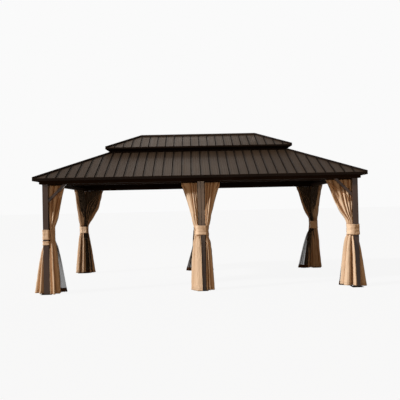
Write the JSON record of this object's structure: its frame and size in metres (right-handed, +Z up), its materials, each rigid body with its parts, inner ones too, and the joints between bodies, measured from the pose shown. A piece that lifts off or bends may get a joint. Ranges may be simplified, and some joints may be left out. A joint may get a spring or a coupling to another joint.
{
  "type": "hardtop gazebo",
  "caption": "Free-standing metal gazebo: posts and beams carry a hipped standing-seam roof in two tiers, with curtains and nets tied back at the posts.",
  "frame": {"origin": "on the ground at the centre of the plan", "axes": "+X along the long side to the right seen from the front, +Y to the back, +Z up"},
  "size_m": [6.066, 3.6, 3.0651],
  "materials": {
    "frame": "dark brown powder coat on aluminium, fine texture",
    "roof": "brown-grey coated steel sheet with standing seams",
    "trim": "very dark brown coated steel trim",
    "curtain": "tan woven polyester curtain",
    "net": "dark grey-brown mosquito mesh with a dark brown hem",
    "tieback": "tan woven band of the curtain cloth"
  },
  "bodies": {
    "root": {"front_left_post": "frame", "front_middle_post": "frame", "front_right_post": "frame", "back_left_post": "frame", "back_middle_post": "frame", "back_right_post": "frame", "base_plates": "frame", "front_left_beam": "frame", "front_right_beam": "frame", "back_left_beam": "frame", "back_right_beam": "frame", "left_beam": "frame", "right_beam": "frame", "knee_braces": "frame", "long_curtain_rails": "frame", "short_curtain_rails": "frame", "hip_rafters": "frame", "common_rafters": "frame", "upper_rafters": "frame", "ridge_beam": "frame", "front_roof": "roof", "back_roof": "roof", "left_roof": "roof", "right_roof": "roof", "upper_front_roof": "roof", "upper_back_roof": "roof", "upper_left_roof": "roof", "upper_right_roof": "roof", "ridge_cap": "roof", "long_fascias": "trim", "short_fascias": "trim", "long_collar_boards": "trim", "short_collar_boards": "trim", "long_upper_trim": "trim", "short_upper_trim": "trim", "hip_caps": "trim", "front_left_curtains": "curtain", "front_middle_curtains": "curtain", "front_right_curtains": "curtain", "back_left_curtains": "curtain", "back_middle_curtains": "curtain", "back_right_curtains": "curtain", "front_nets": "net", "back_nets": "net", "tiebacks": "tieback"}
  },
  "joints": []
}
